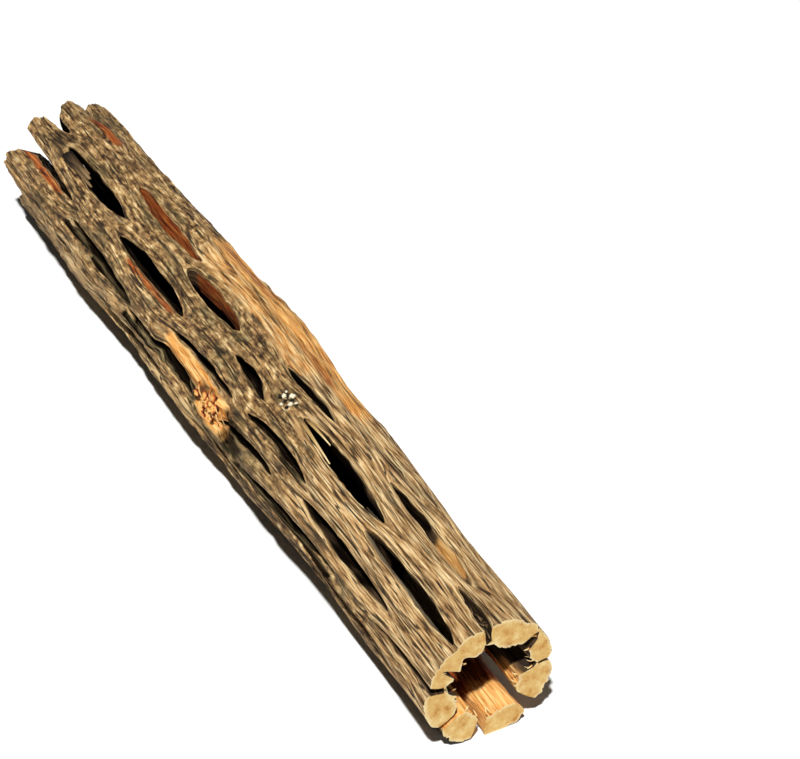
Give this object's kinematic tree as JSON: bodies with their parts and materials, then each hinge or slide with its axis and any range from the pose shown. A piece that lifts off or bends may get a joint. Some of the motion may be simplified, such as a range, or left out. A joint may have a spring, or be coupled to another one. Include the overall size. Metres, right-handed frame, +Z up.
{
  "type": "cholla cactus skeleton",
  "caption": "Hollow woody skeleton of a cholla cactus stem: a net of strands with long staggered slots, sawn flat at one end and broken into free tips at the other.",
  "frame": {"origin": "on the surface it lies on, under the middle of its bounding box", "axes": "+X along the stem towards its sawn end, +Z up"},
  "size_m": [0.2558, 0.041, 0.0404],
  "materials": {
    "cholla_wood": "dry, matt, weathered grey-brown with pale sawn ends"
  },
  "bodies": {
    "root": {"cholla_skeleton": "cholla_wood"}
  },
  "joints": []
}
